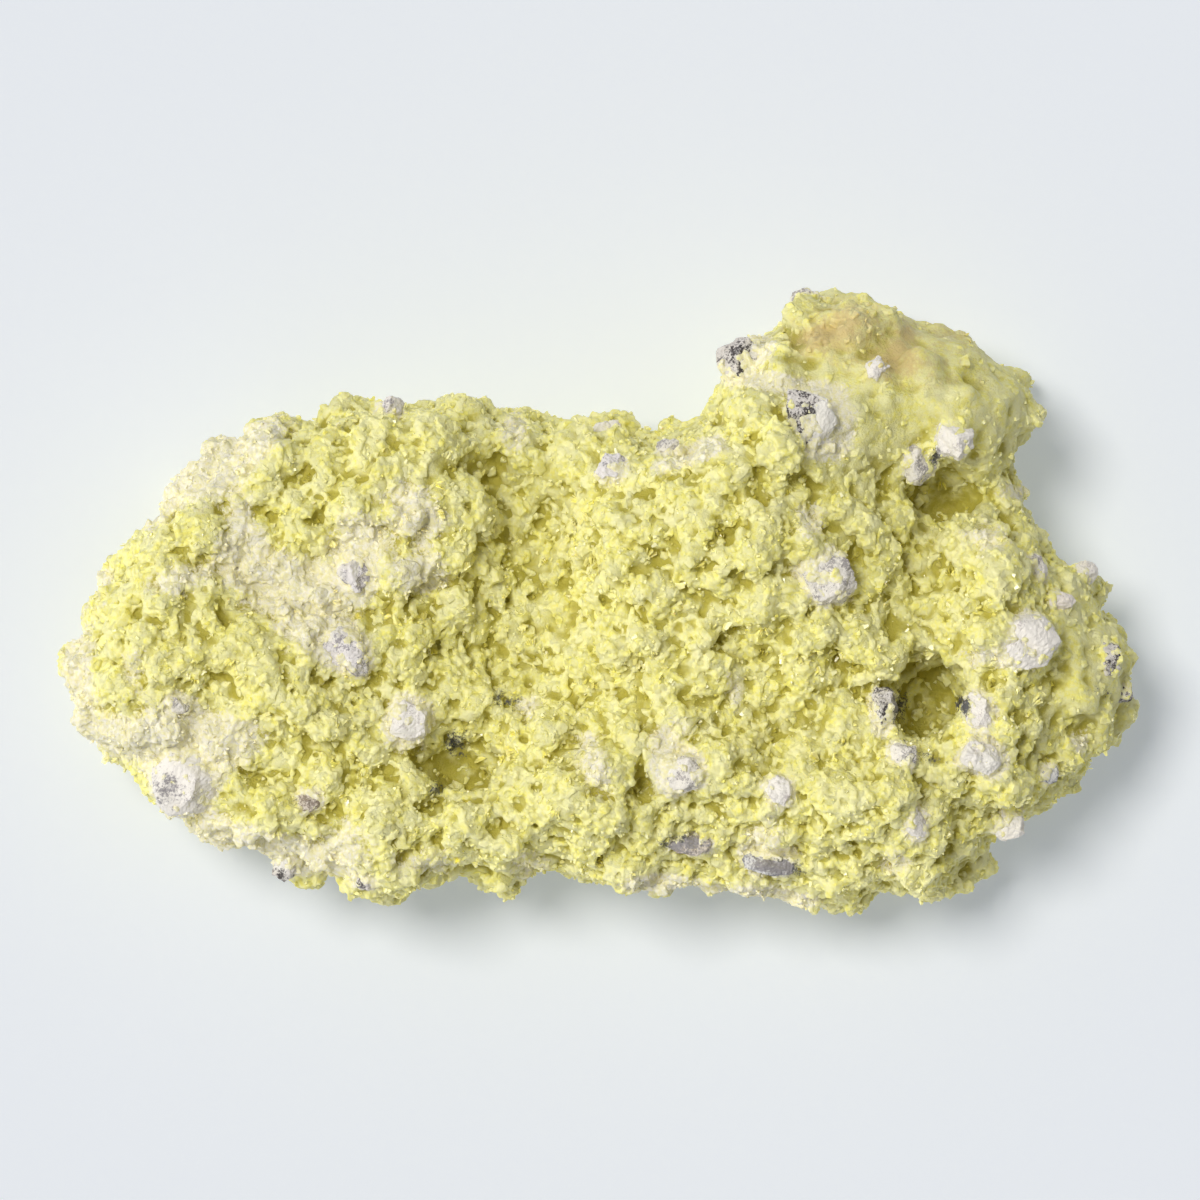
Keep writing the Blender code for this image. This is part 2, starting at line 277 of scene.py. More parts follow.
def frames_along(axis, rng):
    """Rotations that turn +Z to each axis, with a random turn about it."""
    side = unit(np.cross(axis, unit(rng.normal(size=axis.shape))))
    return np.stack([side, np.cross(axis, side), axis], axis=2)


def tiled(shape, frames, sizes, places):
    """Points of one copy of the shape per place, turned by its frame and scaled by its three sizes."""
    scaled = shape.points[None] * sizes[:, None, :]
    return np.einsum("nij,nkj->nki", frames, scaled) + places[:, None, :]


def joined(name, shape, points, facts):
    """Copies of one shape as one mesh. Each has its facts as attributes and its own cell of the bake map."""
    copies, per_copy = points.shape[:2]
    mesh = bpy.data.meshes.new(name)
    mesh.vertices.add(copies * per_copy)
    mesh.vertices.foreach_set("co", points.reshape(-1).astype(np.float32))
    shift = np.arange(copies)[:, None] * per_copy
    corners = (shape.corners[None] + shift).reshape(-1)
    starts = (shape.starts[None] + np.arange(copies)[:, None] * len(shape.corners)).reshape(-1)
    mesh.loops.add(len(corners))
    mesh.loops.foreach_set("vertex_index", corners.astype(np.int32))
    mesh.polygons.add(len(starts))
    mesh.polygons.foreach_set("loop_start", starts.astype(np.int32))
    mesh.polygons.foreach_set("use_smooth", np.zeros(len(starts), bool))
    mesh.update(calc_edges=True)
    store(mesh, {fact: np.repeat(values, per_copy) for fact, values in facts.items()})
    across = math.ceil(math.sqrt(copies))
    cell = np.column_stack(np.divmod(np.arange(copies), across))
    place_in_cell = (cell[:, None, :] + shape.laid_out[shape.corners][None]) / across
    mesh.uv_layers.new(name=BAKE_MAP).uv.foreach_set("vector", place_in_cell.reshape(-1).astype(np.float32))
    return mesh


def shape_of(bm):
    """A small bmesh as arrays. Its bake map is a view aslant, so that no face is a line."""
    mesh = taken("shape", bm)
    points = numbers(mesh.vertices, "co", 3)
    aslant = points[:, :2] + points[:, 2:] * (0.45, 0.3)
    low, high = aslant.min(axis=0), aslant.max(axis=0)
    found = SimpleNamespace(
        points=points,
        laid_out=0.15 + 0.7 * (aslant - low) / (high - low),
        corners=numbers(mesh.loops, "vertex_index", 1, np.int32),
        starts=numbers(mesh.polygons, "loop_start", 1, np.int32),
    )
    bpy.data.meshes.remove(mesh)
    return found


# ======== Masks, as seen from above ========

# Each spot: x, y, half width, half depth, turn in degrees, amount.
# White dust.
POWDER = (
    (33.6, 25.5, 2.2, 4, 0, 1.6),
    (23.4, 37, 2, 2.4, 0, 1.5),
    (40.6, -17, 1.2, 2.5, 0, 1.0),
    (-60, -21, 7, 5, -20, 1.2),
    (-54, 22, 9, 3.5, 25, 1.3),
    (-65, 15, 3, 5, -20, 1.2),
    (-58, 16.5, 4, 2.5, 30, 0.7),
    (-52, 8, 3, 8, 5, 1.0),
    (-44.5, 3.5, 9, 3.5, -15, 1.0),
    (-35, 8.5, 4, 4.5, 0, 1.2),
    (-42, -3.5, 5.5, 4, -30, 1.4),
    (-61.5, 3, 6, 2.5, 15, 0.8),
    (-75, 5, 3, 5, 30, 0.8),
    (-77, -12, 2.5, 9, -5, 1.3),
    (-71, -20, 6, 3.5, -15, 1.0),
    (-68, -9.5, 2, 4, 0, 0.7),
    (-56.5, -34.5, 7, 3.5, -20, 0.9),
    (-47, -37.5, 9, 2.8, -10, 1.3),
    (-53.5, -20, 5, 3, 0, 0.8),
    (-37, -35, 4, 4, 0, 0.7),
    (-26.8, 13, 3, 5, 35, 1.2),
    (-26, 3.5, 3.5, 3, 0, 1.2),
    (-12.7, 25, 2.5, 4, 0, 0.9),
    (11, 20, 6, 1.6, 15, 0.8),
    (16, 22.5, 3, 1.8, 0, 0.9),
    (-28.5, -18.5, 3, 3.5, 0, 1.0),
    (-10.6, -15.5, 2, 2, 0, 1.0),
    (-0.8, -24, 2.4, 5, 15, 1.0),
    (10, -23, 3.2, 5.5, 0, 1.2),
    (8, -41.8, 5, 1.6, 0, 1.4),
    (-25.5, -38.5, 6, 2.5, 0, 0.7),
    (-10.5, -39, 4, 3, 0, 0.7),
    (26, 31.5, 8, 1.4, -8, 1.3),
    (33, 24.5, 3, 3.5, 0, 1.1),
    (30.5, 11.5, 2.5, 3, 0, 0.8),
    (61.5, 16, 3.5, 1.5, 0, 0.9),
    (56, 9, 4, 3, 0, 0.8),
    (55, -8.5, 3, 2, 0, 0.8),
    (56.5, -23.5, 3, 2.5, 0, 1.3),
    (19.5, -13, 2, 3, 0, 0.8),
    (70.5, -21, 2, 2, 0, 0.8),
    (24, -35, 4, 4, -30, 0.8),
    (43.5, -38.5, 4, 2.5, 20, 0.7),
    (24, -44, 8, 2, -5, 1.4),
)
# Buff stains on the raised lobe.
TAN = (
    (45, 36, 16, 7, -15, 0.35),
    (36, 40.5, 4, 3, 15, 0.75),
    (31.5, 38, 3, 2.2, 0, 0.8),
    (44.5, 38.5, 1.6, 3.2, -30, 0.8),
    (43, 34.5, 5, 2, 0, 0.6),
    (53, 40, 4, 2, -20, 0.5),
)
# Deep places that stay free of knobs and grains.
PITS = (
    (47, -13.5, 5, 6, 0, 1.2),
    (-17, 19, 4.5, 4, 0, 1.2),
    (-20, -25, 7, 4, 0, 1.0),
    (51, 15.5, 5, 3, -10, 1.2),
    (5, -27, 3, 3.5, 0, 0.9),
    (16, 9, 2.5, 2, 0, 0.8),
)
# Smooth, waxy sulfur: the raised lobe and the right flank.
CALM = ((47, 32, 19, 12, 0, 1.3), (72, -10, 7, 17, 8, 0.9))
# Where glassy blades grow.
BLADED = (
    (-50, -10, 12, 5, 0, 1.0),
    (-37, -21, 6, 7, 0, 0.9),
    (-18, 4, 12, 9, 0, 1.0),
    (-5, 1, 7, 8, 0, 1.0),
    (12, -1, 10, 6, 0, 1.0),
    (30, -4, 12, 5, 0, 1.0),
    (42, 13, 7, 3, 0, 1.3),
    (-14, -23, 6, 4, 0, 0.8),
    (34, -20, 8, 8, 0, 0.7),
    (5, -15, 10, 6, 0, 0.6),
)
# Dark grit, and the dark sides of some stones.
GRITTY = (
    (-63.2, -27.6, 3.2, 3.6, 0, 0.8),
    (53.2, -15.5, 0.9, 2, 0, 1.2),
    (48.9, 20.8, 1.2, 2, 0, 1.1),
    (-21, -21, 3, 3, 0, 1.0),
    (-24, -28, 2, 2, 0, 1.0),
    (-14, -14.5, 5, 2, 0, 0.9),
    (12, -35.5, 5, 1.8, 0, 1.0),
    (26, -39, 6, 2, -8, 1.0),
    (44, -16, 2, 5, 0, 1.0),
    (48, -23, 4, 2, 0, 0.8),
    (11.5, -24.5, 2, 3, 0, 0.5),
    (-26, 10, 2.5, 4, 35, 0.5),
    (-36, -7.5, 3, 1.5, -30, 0.6),
    (74, -13.5, 4, 1.5, 0, 0.8),
    (60, -26, 3, 2, 0, 0.5),
    (-56, 2.5, 3, 2, 0, 0.4),
    (-69, -18.5, 3, 2, 0, 0.3),
    (-45, 3, 6, 3, 0, 0.3),
)


def mask(places, spots):
    """How far each place, in metres, is inside the spots: 0 outside, more than 1 where spots overlap."""
    found = np.zeros(len(places))
    for x, y, half_width, half_depth, turn, amount in spots:
        cos, sin = math.cos(math.radians(turn)), math.sin(math.radians(turn))
        dx, dy = places[:, 0] / MM - x, places[:, 1] / MM - y
        across = (dx * cos + dy * sin) / half_width
        deep = (dy * cos - dx * sin) / half_depth
        found += amount * np.exp(-0.8 * (across**2 + deep**2))
    return found


def eased(values, low, high):
    """From 0 at low to 1 at high, with soft ends. low may be the larger one."""
    share = np.clip((values - low) / (high - low), 0, 1)
    return share * share * (3 - 2 * share)


def calm_at(places):
    return np.clip(mask(places, CALM), 0, 1)


def stains(places, stones):
    """The facts that the materials break up into dust, stains and grit. Dust also lies around each stone."""
    around_stones = STONE_DUST * np.exp(-((room_at(places, stones) / STONE_DUST_REACH) ** 2))
    around_stones *= 1 - 0.5 * calm_at(places)
    settled = mask(places, POWDER) * eased(places[:, 2] / MM, *DUSTY_FROM)
    return {"powder": settled + around_stones, "tan": mask(places, TAN), "grit": mask(places, GRITTY)}


# ======== The sulfur's skin ========


def stone_nodes():
    return sorted(n for n in frame["nodes"] if n != "sulfur_mass")


def swollen(bm, margin):
    """The mesh, grown about its middle so that each side moves out by at least the margin."""
    place = np.array([v.co for v in bm.verts])
    middle = Vector((place.max(axis=0) + place.min(axis=0)) / 2)
    least = min(place.max(axis=0) - place.min(axis=0)) / 2
    factor = 1 + margin * MM / least
    bmesh.ops.scale(bm, vec=(factor,) * 3, space=Matrix.Translation(-middle), verts=bm.verts)
    return bm


def filled_mass():
    """The sulfur's solid with its stone pockets filled."""
    whole = closed_copy("sulfur_mass")
    for node in stone_nodes():
        mesh = taken(node, swollen(closed_copy(node), POCKET_FILL))
        whole.from_mesh(mesh)
        bpy.data.meshes.remove(mesh)
    return fused("filled_mass", taken("filled_mass", whole), FILLED_VOXEL)


def smooth_core():
    """The filled mass, smoothed and drawn in, to carry the knobs."""
    obj = link("core", filled_mass())
    smooth = obj.modifiers.new("soften", "SMOOTH")
    smooth.factor = 0.5
    smooth.iterations = CORE_SOFTENING
    mesh = with_modifiers_applied(obj)
    place = numbers(mesh.vertices, "co", 3)
    inset = CORE_INSET + (CALM_INSET - CORE_INSET) * calm_at(place)
    inset *= eased(place[:, 2] / MM, 0.5, 4)
    move_out(mesh, -inset)
    return mesh


def move_out(mesh, distance):
    """Moves each point along its normal by its distance, in millimetres."""
    place = numbers(mesh.vertices, "co", 3)
    normal = numbers(mesh.vertices, "normal", 3)
    mesh.vertices.foreach_set("co", (place + normal * distance[:, None] * MM).reshape(-1))
    mesh.update()


def knob_shape():
    """A round knob of radius 1."""
    bm = bmesh.new()
    bmesh.ops.create_icosphere(bm, subdivisions=2, radius=1.0)
    return shape_of(bm)


def stone_tree():
    """All stones as one tree, to measure the distance to the nearest one."""
    stones = bmesh.new()
    for node in stone_nodes():
        mesh = taken(node, closed_copy(node))
        stones.from_mesh(mesh)
        bpy.data.meshes.remove(mesh)
    tree = BVHTree.FromBMesh(stones)
    stones.free()
    return tree


def room_at(places, stones):
    """The distance from each place to the nearest stone, in millimetres."""
    return np.array([stones.find_nearest(place)[3] for place in places]) / MM


def with_knobs(mesh, stones, kind, count, least, largest, sunk, rounds, low_weight, rng):
    """The skin with knobs set in it, few in its hollows, none on the stones or on the resting face."""
    skin = skin_of(mesh)
    high = -hollows(mesh, rounds)[skin.corner].mean(axis=1)
    weight = (eased(skin.middle[:, 2] / MM, 1.0, 4.0) + 0.02) * (low_weight + eased(high, -0.15, 0.25))
    weight *= (1 - 0.7 * calm_at(skin.middle)) * (1 - 0.9 * np.clip(mask(skin.middle, PITS), 0, 1))
    weight *= 0.25 + 0.75 * eased(skin.normal[skin.corner].mean(axis=1)[:, 2], 0.1, 0.7)
    place, outward, _ = scatter(skin, count, weight, rng)
    radius = least + (largest - least) * rng.random(count) ** 1.7
    radius = np.minimum(radius, room_at(place, stones) - STONE_ROOM)
    kept = radius > 0.6 * least
    place, outward, radius = place[kept], outward[kept], radius[kept] * MM
    sizes = radius[:, None] * rng.uniform(0.75, 1.3, (len(radius), 3))
    centre = place - outward * (radius * sunk)[:, None]
    shape = {"round": knob_shape, "block": block_shape}[kind]()
    axis = unit(outward + 0.6 * rng.normal(size=outward.shape))
    return with_copies(mesh, [(shape, tiled(shape, frames_along(axis, rng), sizes, centre))])


def with_copies(mesh, groups):
    """The mesh and the copies of the shapes in one mesh, not yet fused."""
    bm = bmesh.new()
    bm.from_mesh(mesh)
    for shape, points in groups:
        copies = joined("copies", shape, points, {})
        bm.from_mesh(copies)
        bpy.data.meshes.remove(copies)
    return taken("with_copies", bm)


def lumps(obj, name, kind, size, strength, group=""):
    """Pushes the object's skin in and out by a texture with patches of this size, and gives the texture."""
    texture = bpy.data.textures.new(name, kind)
    texture.noise_scale = size * MM
    push = obj.modifiers.new(name, "DISPLACE")
    push.texture = texture
    push.texture_coords = "LOCAL"
    push.strength = strength * MM
    push.mid_level = 0.5
    push.vertex_group = group
    return texture


def creased(mesh, size, depth):
    """Clods of about this size with narrow creases between them."""
    obj, texture = cut_in(mesh, "VORONOI", size, depth)
    # The second nearest point less the nearest one: 0 on the borders between clods.
    texture.weight_1, texture.weight_2 = -1, 1
    texture.noise_intensity = 2
    ramp(texture, 0.0, CREASE_WIDTH, (1, 0))
    return with_modifiers_applied(obj)


def holed(mesh, size, depth):
    """Scattered small holes of about half this size."""
    obj, texture = cut_in(mesh, "CLOUDS", size, depth)
    ramp(texture, 0.76, 0.82, (0, 1))
    return with_modifiers_applied(obj)


def cut_in(mesh, kind, size, depth):
    """The mesh as an object that is pushed in by the depth where the texture is 1, and the texture."""
    obj = link("cut", mesh)
    weigh(obj, CUT_IN_CALM)
    texture = lumps(obj, "cut", kind, size, -depth, "rough")
    obj.modifiers["cut"].mid_level = 0
    return obj, texture


def ramp(texture, low, high, levels):
    """The texture goes from the first level to the second between its low and high values."""
    texture.use_color_ramp = True
    for element, place, level in zip(texture.color_ramp.elements, (low, high), levels):
        element.position = place
        element.color = (level, level, level, 1)


def weigh(obj, in_calm):
    """A vertex group that fades out towards the resting face, and down to in_calm on smooth sulfur."""
    group = obj.vertex_groups.new(name="rough")
    place = numbers(obj.data.vertices, "co", 3)
    weight = eased(place[:, 2] / MM, 0.4, 3.0) * (1 + (in_calm - 1) * calm_at(place))
    step = np.rint(weight * WEIGHT_STEPS)
    for level in range(1, WEIGHT_STEPS + 1):
        group.add(np.nonzero(step == level)[0].tolist(), level / WEIGHT_STEPS, "REPLACE")


def flat_on_base(mesh):
    """Nothing reaches below the resting face."""
    place = numbers(mesh.vertices, "co", 3)
    place[:, 2] = np.maximum(place[:, 2], 0)
    mesh.vertices.foreach_set("co", place.reshape(-1))
    mesh.update()


def sulfur_skin(stones):
    """The sulfur's surface: three rounds of knobs on a smooth core, with creases and holes cut in between."""
    rng = np.random.default_rng(7)
    mesh = smooth_core()
    for step, (kind, count, least, largest, sunk, voxel, rounds, low_weight) in enumerate(KNOBS):
        mesh = with_knobs(mesh, stones, kind, count, least, largest, sunk, rounds, low_weight, rng)
        mesh = fused("skin", mesh, voxel)
        if step < len(CLODS):
            mesh = holed(creased(mesh, *CLODS[step]), *HOLES[step])
    obj = link("sulfur_skin", mesh)
    weigh(obj, 1.0)
    lumps(obj, "wrinkles", "CLOUDS", *WRINKLES, "rough")
    lumps(obj, "crumbs", "CLOUDS", *CRUMBS, "rough")
    mesh = with_modifiers_applied(obj)
    flat_on_base(mesh)
    return thinned("sulfur_skin", mesh, SKIN_TRIANGLES)


def neighbours_mean(values, edges, count):
    """Each point's value averaged with its neighbours' values."""
    a, b = edges.T
    total = np.empty_like(values)
    times = 1 + np.bincount(edges.reshape(-1), minlength=count)
    for column in range(values.shape[1]):
        total[:, column] = values[:, column] + np.bincount(a, values[b, column], count)
        total[:, column] += np.bincount(b, values[a, column], count)
    return total / times[:, None]


def hollows(mesh, rounds):
    """How deep each point lies below its surroundings, in millimetres; negative on knobs."""
    place = numbers(mesh.vertices, "co", 3).astype(float)
    normal = numbers(mesh.vertices, "normal", 3)
    edges = numbers(mesh.edges, "vertices", 2, np.int32)
    smoothed = place
    for _ in range(rounds):
        smoothed = neighbours_mean(smoothed, edges, len(place))
    return ((smoothed - place) * normal).sum(axis=1) / MM


def store(mesh, facts):
    """Each fact becomes an attribute of the mesh's points, which the materials read."""
    for fact, values in facts.items():
        layer = mesh.attributes.new(fact, "FLOAT", "POINT")
        layer.data.foreach_set("value", values.astype(np.float32))


def lay_out(mesh):
    """The bake map: the upper faces as seen from above in one half, the lower ones in the other half."""
    place = numbers(mesh.vertices, "co", 3)[:, :2]
    low, high = place.min(axis=0), place.max(axis=0)
    flat = (0.02 + 0.96 * (place - low) / (high - low)) * (1, 0.5)
    lower = numbers(mesh.polygons, "normal", 3)[:, 2] < 0
    corners = numbers(mesh.polygons, "loop_total", 1, np.int32)
    spot = flat[numbers(mesh.loops, "vertex_index", 1, np.int32)]
    spot[:, 1] += 0.5 * np.repeat(lower, corners)
    mesh.uv_layers.new(name=BAKE_MAP).uv.foreach_set("vector", spot.reshape(-1).astype(np.float32))


# ======== Materials ========


def nodes_of(name, roughness, ior=1.5):
    """A new material and its shader."""
    material = bpy.data.materials.new(name)
    material.use_nodes = True
    shader = material.node_tree.nodes["Principled BSDF"]
    shader.inputs["Roughness"].default_value = roughness
    shader.inputs["IOR"].default_value = ior
    return material, shader


class Maker:
    """Short ways to add nodes to one material."""

    def __init__(self, material):
        self.tree = material.node_tree
        self.object_place = self.tree.nodes.new("ShaderNodeTexCoord").outputs["Object"]

    def join(self, source, target):
        self.tree.links.new(source, target)

    def grain(self, size, detail=3.0, roughness=0.55):
        """Noise from 0 to 1 whose patches measure about this many millimetres."""
        node = self.tree.nodes.new("ShaderNodeTexNoise")
        node.inputs["Scale"].default_value = 1 / (size * MM)
        node.inputs["Detail"].default_value = detail
        node.inputs["Roughness"].default_value = roughness
        self.join(self.object_place, node.inputs["Vector"])
        return node.outputs["Fac"]

    def fact(self, name):
        node = self.tree.nodes.new("ShaderNodeAttribute")
        node.attribute_name = name
        return node.outputs["Fac"]

    def eased(self, value, low, high, first=0.0, last=1.0):
        node = self.tree.nodes.new("ShaderNodeMapRange")
        node.interpolation_type = "SMOOTHSTEP"
        for socket, number in zip(("From Min", "From Max", "To Min", "To Max"), (low, high, first, last)):
            node.inputs[socket].default_value = number
        self.join(value, node.inputs["Value"])
        return node.outputs["Result"]

    def sum(self, first, second, weight=1.0):
        node = self.tree.nodes.new("ShaderNodeMath")
        node.operation = "MULTIPLY_ADD"
        self.join(second, node.inputs[0])
        node.inputs[1].default_value = weight
        self.join(first, node.inputs[2])
        return node.outputs[0]

    def mixed(self, share, first, second):
        """From the first colour to the second as share goes from 0 to 1. Each is a colour or a socket."""
        node = self.tree.nodes.new("ShaderNodeMix")
        node.data_type = "RGBA"
        self.join(share, node.inputs["Factor"])
        for colour, socket in ((first, node.inputs["A"]), (second, node.inputs["B"])):
            if isinstance(colour, tuple):
                socket.default_value = (*colour, 1)
            else:
                self.join(colour, socket)
        return node.outputs["Result"]

    def bump(self, height, depth, shader):
        """Bumps of this depth, in millimetres."""
        node = self.tree.nodes.new("ShaderNodeBump")
        node.inputs["Strength"].default_value = 1.0
        node.inputs["Distance"].default_value = depth * MM
        self.join(height, node.inputs["Height"])
        self.join(node.outputs["Normal"], shader.inputs["Normal"])


LEMON = (0.91, 0.85, 0.20)
PALE_LEMON = (0.92, 0.89, 0.43)
# The pale end of each crystal's own random tint, paler still to paint glints on the crystals.
PAINTED_GLINT_PALE = (0.95, 0.92, 0.56)
MILKY = (0.91, 0.88, 0.46)
# Painted shade: the olive gold that darkens the hollows, the skin between grains and the gaps between grains.
PAINTED_SHADE_OLIVE_GOLD = (0.52, 0.46, 0.07)
CREAM = (0.93, 0.89, 0.74)
DUSTY_LEMON = (0.88, 0.83, 0.48)
BUFF = (0.72, 0.57, 0.25)
SOOT = (0.12, 0.12, 0.125)


RAGGED = 1.3  # how much each of a stain's two grains breaks it up; together they add this on average


def broken(make, fact, low, high, coarse, fine):
    """A stain that breaks up at its edges into patches of the two sizes."""
    ragged = make.sum(make.fact(fact), make.grain(coarse, 3, 0.6), RAGGED)
    ragged = make.sum(ragged, make.grain(fine, 3, 0.7), RAGGED)
    return make.eased(ragged, RAGGED + low, RAGGED + high)


def sulfur_material(name, roughness, ior, see_into, grain_depth, tint_fact=False):
    """Waxy, milky sulfur: lemon on knobs, painted shade of olive gold in the hollows, buff stains, cream dust
    and dark grit.

    see_into is how far light gets in it and grain_depth how deep its fine bumps are, in millimetres.
    With tint_fact, each crystal has a tint of its own, up to a pale one that paints glints on it.
    """
    material, shader = nodes_of(name, roughness, ior)
    make = Maker(material)
    tint = make.fact("tint") if tint_fact else make.eased(make.grain(0.9, 5, 0.7), 0.35, 0.65)
    # With tint_fact, each crystal's random tint goes up to a pale one that paints glints.
    lemon = make.mixed(tint, LEMON, PAINTED_GLINT_PALE if tint_fact else PALE_LEMON)
    milky = make.mixed(make.eased(make.grain(3.5, 5, 0.65), 0.4, 0.66), lemon, MILKY)
    # Painted shade: the deeper the hollow, the more olive gold.
    deep = make.mixed(make.eased(make.fact("hollow"), 0.0, 0.65), milky, PAINTED_SHADE_OLIVE_GOLD)
    warm = make.mixed(broken(make, "tan", 0.1, 1.3, 2.5, 0.6), deep, BUFF)
    dust = broken(make, "powder", 0.4, 0.8, 2.4, 0.5)
    powder = make.mixed(make.eased(make.grain(0.7, 4, 0.7), 0.38, 0.62), CREAM, DUSTY_LEMON)
    dusted = make.mixed(dust, warm, powder)
    gritty = make.mixed(broken(make, "grit", 0.7, 1.1, 1.5, 0.35), dusted, SOOT)
    make.join(gritty, shader.inputs["Base Color"])
    make.join(make.eased(dust, 0.1, 0.7, roughness, 0.9), shader.inputs["Roughness"])
    shader.subsurface_method = "BURLEY"
    shader.inputs["Subsurface Weight"].default_value = 0.85
    shader.inputs["Subsurface Radius"].default_value = (1.0, 0.9, 0.4)
    shader.inputs["Subsurface Scale"].default_value = see_into * MM
    make.bump(make.grain(0.35, 3, 0.65), grain_depth, shader)
    return material


STONE_DUST_COLOUR = (0.90, 0.87, 0.80)
SPOT = (0.33, 0.31, 0.32)
# Each kind of stone: its light and dark colours, and how much of it the dark speckles take, from 0 to 1.
STONE_COLOURS = {
    "white": ((0.92, 0.88, 0.82), (0.66, 0.61, 0.59), 0.25),
    "pink": ((0.92, 0.85, 0.79), (0.70, 0.60, 0.55), 0.25),
    "lilac": ((0.86, 0.82, 0.80), (0.40, 0.37, 0.39), 0.38),
    "grey": ((0.86, 0.82, 0.75), (0.42, 0.39, 0.38), 0.38),
    "blue": ((0.76, 0.75, 0.74), (0.22, 0.22, 0.25), 0.42),
    "brown": ((0.76, 0.68, 0.60), (0.33, 0.27, 0.22), 0.48),
    "dark": ((0.74, 0.70, 0.66), (0.08, 0.07, 0.07), 0.47),
}


def stone_material(kind):
    """Rock with dark speckles in drifts, with dark spots and pale dust where the specimen has them."""
    light, dark, speckled = STONE_COLOURS[kind]
    material, shader = nodes_of(f"{kind}_stone", 0.9)
    make = Maker(material)
    drifts = make.sum(make.grain(0.35, 4, 0.75), make.grain(2.2, 3, 0.6), 1.0)
    # The two grains together lie between 0.68 and 1.32 almost everywhere.
    middle = 1.32 - 0.64 * speckled
    body = make.mixed(make.eased(drifts, middle - 0.07, middle + 0.07), light, dark)
    spotted = make.mixed(broken(make, "grit", 0.5, 0.9, 1.2, 0.35), body, SPOT)
    dusted = make.mixed(broken(make, "powder", 0.6, 0.9, 1.5, 0.4), spotted, STONE_DUST_COLOUR)
    make.join(dusted, shader.inputs["Base Color"])
    make.bump(make.grain(0.35, 4, 0.7), 0.12, shader)
    return material


# ======== Crystals on the skin ========


def block_shape():
    """A stubby crystal, a little narrower at one end."""
    bm = bmesh.new()
    bmesh.ops.create_cone(bm, cap_ends=True, segments=4, radius1=0.72, radius2=0.5, depth=1.0)
    return shape_of(bm)


def nodule_shape():
    """A round grain."""
    bm = bmesh.new()
    bmesh.ops.create_icosphere(bm, subdivisions=1, radius=0.5)
    return shape_of(bm)


def blade_shape():
    """A flat crystal that stands on its root."""
    bm = bmesh.new()
    bmesh.ops.create_cone(bm, cap_ends=True, segments=4, radius1=0.6, radius2=0.3, depth=1.0)
    bmesh.ops.translate(bm, vec=(0, 0, 0.25), verts=bm.verts)
    return shape_of(bm)


def facts_at(places, triangle, skin, stones, rng):
    """What the materials need to know about crystals at these places, on these triangles of the skin."""
    # The hollow fact paints shade on crystals that stand in the skin's hollows.
    hollow = skin.hollow[skin.corner[triangle]].mean(axis=1)
    return {"hollow": hollow, "tint": rng.random(len(places))} | stains(places, stones)


def dress(name, mesh, material, slot="sulfur"):
    """The mesh as a visible piece of the specimen."""
    mesh.materials.append(material)
    obj = link(name, mesh)
    specimen.objects.link(obj)
    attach(obj, "root")
    return obj


def grains_on(surfaces, rng):
    """Places and outward normals of the crust's grains on each surface, with its count and its weight."""
    found = [scatter(surface, count, weight, rng)[:2] for surface, count, weight in surfaces]
    return [np.concatenate(part) for part in zip(*found)]


def crust_grains(surfaces, rng):
    """The grains of the crust, half of them blocks and half round, from left to right."""
    place, outward = grains_on(surfaces, rng)
    axis = unit(outward + 0.8 * rng.normal(size=outward.shape))
    least, largest = CRUST_GRAIN_SIZE
    span = (least + (largest - least) * rng.random((len(place), 1)) ** 1.6) * MM
    sizes = span * rng.uniform(0.6, 1.35, (len(place), 3))
    sunk = CRUST_SUNK + (CRUST_SUNK_IN_CALM - CRUST_SUNK) * calm_at(place)
    place = place - outward * sunk[:, None] * MM
    frames = frames_along(axis, rng)
    rank = np.argsort(place[:, 0])
    for part in np.array_split(rank, CRUST_PIECES):
        yield [
            (shape, tiled(shape, frames[some], sizes[some], place[some]))
            for shape, some in ((block_shape(), part[::2]), (nodule_shape(), part[1::2]))
        ]


def point_tree(places):
    """The places as a tree, to find the nearest one."""
    tree = KDTree(len(places))
    for index, place in enumerate(places):
        tree.insert(place, index)
    tree.balance()
    return tree


def rock_of(objects):
    """The surface of all these objects as one."""
    bm = bmesh.new()
    for obj in objects:
        bm.from_mesh(obj.data)
    mesh = taken("rock", bm)
    rock = skin_of(mesh)
    bpy.data.meshes.remove(mesh)
    return rock


def crust(skin, near, stones, surfaces, material):
    """Grains grown together into one crumbly crust, in pieces from left to right."""
    rng = np.random.default_rng(30)
    for part, groups in enumerate(crust_grains(surfaces, rng), start=1):
        name = f"crystal_crust_{part}"
        obj = link(name, fused(name, with_copies(bpy.data.meshes.new(name), groups), CRUST_VOXEL))
        lumps(obj, name, "CLOUDS", *CRUST_ROUGHNESS)
        mesh = thinned(name, with_modifiers_applied(obj), CRUST_TRIANGLES, smooth=False)
        flat_on_base(mesh)
        place = numbers(mesh.vertices, "co", 3)
        nearest = np.array([near.find(point)[1] for point in place])
        # The hollow fact paints shade: olive gold in the skin's hollows and in the gaps between grains.
        hollow = skin.hollow[nearest] + SHADE_IN_GRAIN_GAPS * hollows(mesh, CRUST_HOLLOW_ROUNDS)
        store(mesh, {"hollow": hollow} | stains(place, stones))
        lay_out(mesh)
        dress(name, mesh, material)


def crystals(name, skin, stones, shape, count, weight, size, lift, lean, material, seed):
    """Small crystals set in the skin.

    size is the least and the largest, lift how far the middle stands out, as a share of the size,
    and lean how much the crystals lean, from 0 for upright ones.
    """
    rng = np.random.default_rng(seed)
    place, outward, triangle = scatter(skin, count, weight, rng)
    axis = unit(outward + lean * rng.normal(size=outward.shape))
    span = size[0] + (size[1] - size[0]) * rng.random((count, 1)) ** 1.6
    sizes = span * MM * rng.uniform(0.7, 1.3, (count, 3))
    place = place + outward * span * MM * lift
    points = tiled(shape, frames_along(axis, rng), sizes, place)
    mesh = joined(name, shape, points, facts_at(place, triangle, skin, stones, rng))
    return dress(name, mesh, material)


